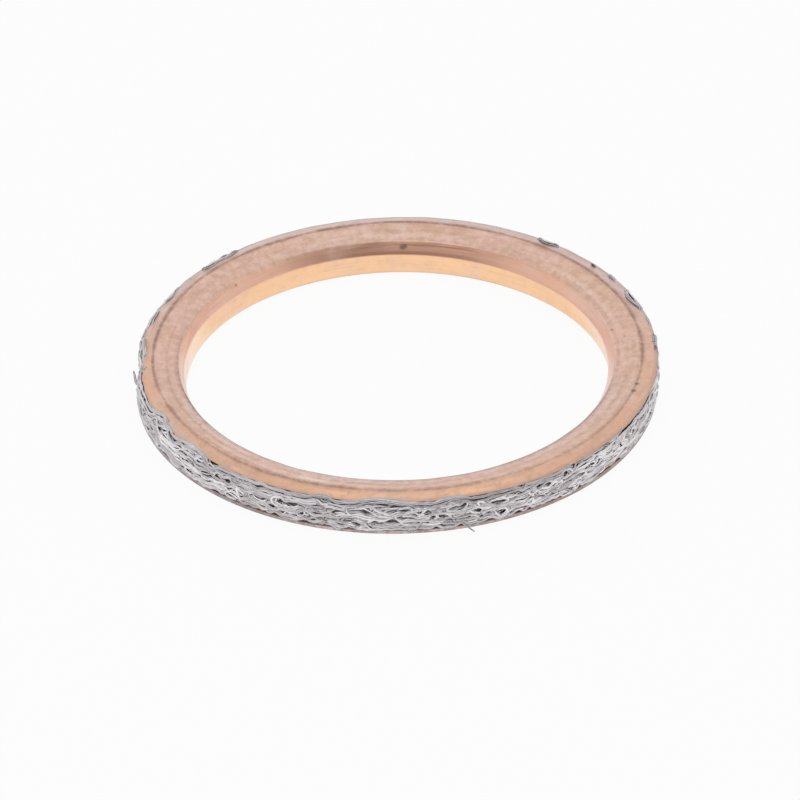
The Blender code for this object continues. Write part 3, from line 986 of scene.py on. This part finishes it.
def steelFinish():
    material, shader, place = newFinish("crushedSteelWire")
    tone, sunk = (addNode("ShaderNodeAttribute", {"attribute_name": key}).outputs["Fac"] for key in ("tone", "depth"))
    cloud = noise(place, 420, 3.0, 0.55)
    dents = noise(place, 2600, 3.0, 0.55)
    grit = noise(place, 9000, 3.0, 0.6)
    shade = total(product(tone, 0.7), product(cloud, 0.5), product(dents, 0.35))
    colour = mixColour(mapRange(shade, 0.52, 1.15), steel["dull"], steel["bright"])
    colour = mixColour(mapRange(grit, 0.55, 0.8, 0, 0.35), colour, steel["dull"])
    x, y, z = split(place)
    # painted shade under the rim, less so at the left, and in patches
    patchy = product(mmRange(x, -20.5, -8.0, 0.25, 1.0), mapRange(noise(place, 700, 3.0, 0.6), 0.35, 0.62, 0.35, 1.0))
    colour = mixColour(product(patchy, mmRange(z, 2.4, 2.85, 0, 0.75)), colour, steel["rimShade"])
    # painted shade: the wires darken where they run deep in the channel
    depth = mapRange(sunk, -0.02, 0.32)
    colour = mixColour(product(depth, 0.6), colour, steel["deep"])
    rough = mapRange(total(cloud, product(depth, 0.3)), 0.35, 0.75, *steel["roughness"])
    dress(shader, colour, 1.0, rough, total(product(dents, 0.8), product(grit, 0.2)), 0.5, 0.03)
    return material


def packingFinish():
    material, shader, place = newFinish("packedWire")
    lumps = noise(place, 2200, 4.0, 0.6)
    colour = mixColour(mapRange(lumps, 0.35, 0.65), packing["dark"], packing["light"])
    dress(shader, colour, 0.0, mapRange(lumps, 0.3, 0.7, *packing["roughness"]), lumps, 0.7, 0.06)
    return material


def buildCore():
    source = np.random.default_rng(knit["seed"] + 5)
    lump = waveOf(source, 20, 70, 8)
    section, around = packing["section"], packing["around"]
    place, sharpness, depth = knit["tucks"][0]
    points = []
    for a in range(around):
        angle = 2 * math.pi * a / around
        # the core is pressed in where the wires are tucked in
        tucked = depth * cosineTo(angle, place) ** sharpness
        for n, (radius, height) in enumerate(section):
            # only the rows that face the mouth are lumpy
            bumpy = packing["lumps"] * lump(angle + n * 0.7) - tucked if 1 <= n <= 7 else 0.0
            r = radius + bumpy
            points.append((r * math.cos(angle), r * math.sin(angle), height + 0.3 * max(bumpy, -0.1)))
    return makeMesh("packedKnit", np.array(points) * mm, ringFaces(around, len(section), turned=True))


def buildLooseEnds():
    points, faces, sides = [], [], 6
    for end in knit["looseEnds"]:
        path = [Vector(p) for p in end]
        last = len(path) - 1
        thickest, taper = (0.17, 0.1) if end[0][0] < 0 else (0.12, 0.07)
        for n, place in enumerate(path):
            along = (path[min(n + 1, last)] - path[max(n - 1, 0)]).normalized()
            across = along.cross(Vector((0, 0, 1))).normalized()
            upward = across.cross(along)
            thick = thickest - taper * n / last
            for k in range(sides):
                turn = 2 * math.pi * k / sides
                points.append(place + (across * math.cos(turn) + upward * math.sin(turn)) * thick)
        first = len(points) - len(path) * sides
        for n in range(last):
            for k in range(sides):
                a, b = first + n * sides + k, first + n * sides + (k + 1) % sides
                faces.append((a, b, b + sides, a + sides))
        faces.append(tuple(first + k for k in reversed(range(sides))))
        faces.append(tuple(first + last * sides + k for k in range(sides)))
    shades = {"tone": [0.2] * len(points), "depth": [0.08] * len(points)}
    return makeMesh("looseWireEnds", np.array([tuple(p) for p in points]) * mm, faces, shades)


def buildKnit():
    finish = steelFinish()
    wires = {**knit, "ringRadius": ringEdge, "finish": finish}
    wrap, curl = wrapTree(), stitchTree()
    pieces = [
        growFrom(eyeGuide(0.19), wrap, "knitWires", wires),
        growFrom(eyeGuide(0.14), wrap, "knitUnderWires", {**wires, **underKnit}),
        growFrom(stitchGuide(), curl, "knitLoops", {**wires, **stitches}),
        growFrom(strandGuide(), curl, "brightStrands", {**wires, **strands}),
    ]
    for solid, skin in ((buildCore(), packingFinish()), (buildLooseEnds(), finish)):
        solid.data.materials.append(skin)
        pieces.append(solid)
    for piece in pieces:
        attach(piece, "root")
        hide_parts("mesh_filler")


buildKnit()
print("knit finished")


studio = {
    "floorTone": 0.86,
    "roomLight": 0.9,
    "frontLight": 0.4,  # the room behind the camera is darker
    # a softbox over the left of the front, in metres and watts
    "lampPlace": (-0.1, -0.3, 0.6),
    "lampSize": (0.4, 0.25),
    "lampPower": 0.5,
}


def blendShaders(amount, first, second, target):
    blend = addNode("ShaderNodeMixShader", Fac=amount)
    for shader, socket in ((first, blend.inputs[1]), (second, blend.inputs[2]), (blend, target)):
        tree.links.new(shader.outputs[0], socket)


def buildStudio():
    bpy.ops.mesh.primitive_plane_add(size=4.0, location=(0, 0, 0))
    floor = bpy.context.object
    floor.name = "studioFloor"
    paper = bpy.data.materials.new("floorPaper")
    paper.use_nodes = True
    workOn(paper.node_tree)
    tree.nodes.remove(tree.nodes["Principled BSDF"])
    tone = studio["floorTone"]
    matt = addNode("ShaderNodeBsdfDiffuse", Color=(tone, tone, tone, 1))
    glow = addNode("ShaderNodeEmission", Color=(1, 0.997, 0.998, 1), Strength=1.0)
    ray = addNode("ShaderNodeLightPath").outputs
    seen = larger(larger(ray["Is Camera Ray"], ray["Is Glossy Ray"]), ray["Is Transmission Ray"])
    blendShaders(product(seen, 0.93), matt, glow, tree.nodes["Material Output"].inputs["Surface"])
    floor.data.materials.append(paper)


def buildWorld():
    world = bpy.context.scene.world or bpy.data.worlds.new("studioLight")
    bpy.context.scene.world = world
    world.use_nodes = True
    workOn(world.node_tree)
    tree.nodes.clear()
    way = addNode("ShaderNodeTexCoord").outputs["Generated"]
    tilt = math.radians(camera["elevation"])
    facing = vectorMath("DOT_PRODUCT", way, (0.0, -math.cos(tilt), math.sin(tilt)))
    shade = mapRange(facing, 0.45, 0.98, studio["roomLight"], studio["frontLight"])
    room = addNode("ShaderNodeBackground", Color=(1, 1, 1, 1), Strength=shade)
    white = addNode("ShaderNodeBackground", Color=(1, 0.995, 0.997, 1), Strength=1.0)
    ray = addNode("ShaderNodeLightPath").outputs
    seen = larger(ray["Is Camera Ray"], ray["Is Transmission Ray"])
    blendShaders(seen, room, white, tree.nodes.new("ShaderNodeOutputWorld").inputs["Surface"])


def buildLamp():
    data = bpy.data.lights.new("topSoftbox", "AREA")
    data.shape, data.energy = "RECTANGLE", studio["lampPower"]
    data.size, data.size_y = studio["lampSize"]
    lamp = bpy.data.objects.new("topSoftbox", data)
    bpy.context.scene.collection.objects.link(lamp)
    lamp.location = studio["lampPlace"]
    lamp.rotation_euler = (-Vector(studio["lampPlace"])).to_track_quat("-Z", "Y").to_euler()


camera = {
    "elevation": 33.2,
    "roll": -0.9,
    "distance": 2.0,
    "pixelsPerMm": 11.9,
    "imageSize": 800,
    "ringCentre": (398.3, 389.0),  # where the middle of the base lies in the image
}


def buildCamera():
    c = camera
    data = bpy.data.cameras.new("photoCamera")
    obj = bpy.data.objects.new("photoCamera", data)
    bpy.context.scene.collection.objects.link(obj)
    bpy.context.scene.camera = obj
    tilt, roll = math.radians(c["elevation"]), math.radians(c["roll"])
    viewWidth = c["imageSize"] / c["pixelsPerMm"] * mm
    data.sensor_width = 36.0
    data.lens = 36.0 * c["distance"] / viewWidth
    data.clip_start, data.clip_end = 0.01, 20.0
    back = Vector((0, -math.cos(tilt), math.sin(tilt)))
    right, up = Vector((1, 0, 0)), Vector((0, math.sin(tilt), math.cos(tilt)))
    turn = Matrix((right, up, back)).transposed() @ Matrix.Rotation(roll, 3, "Z")
    right, up = turn.col[0], turn.col[1]
    middle = c["imageSize"] / 2
    aside = (middle - c["ringCentre"][0]) / c["pixelsPerMm"] * mm
    above = (c["ringCentre"][1] - middle) / c["pixelsPerMm"] * mm
    obj.location = back * c["distance"] + right * aside + up * above
    obj.rotation_euler = turn.to_euler()


buildStudio()
buildWorld()
buildLamp()
buildCamera()
bpy.context.scene.view_settings.view_transform = "Standard"
print("studio and camera ready")
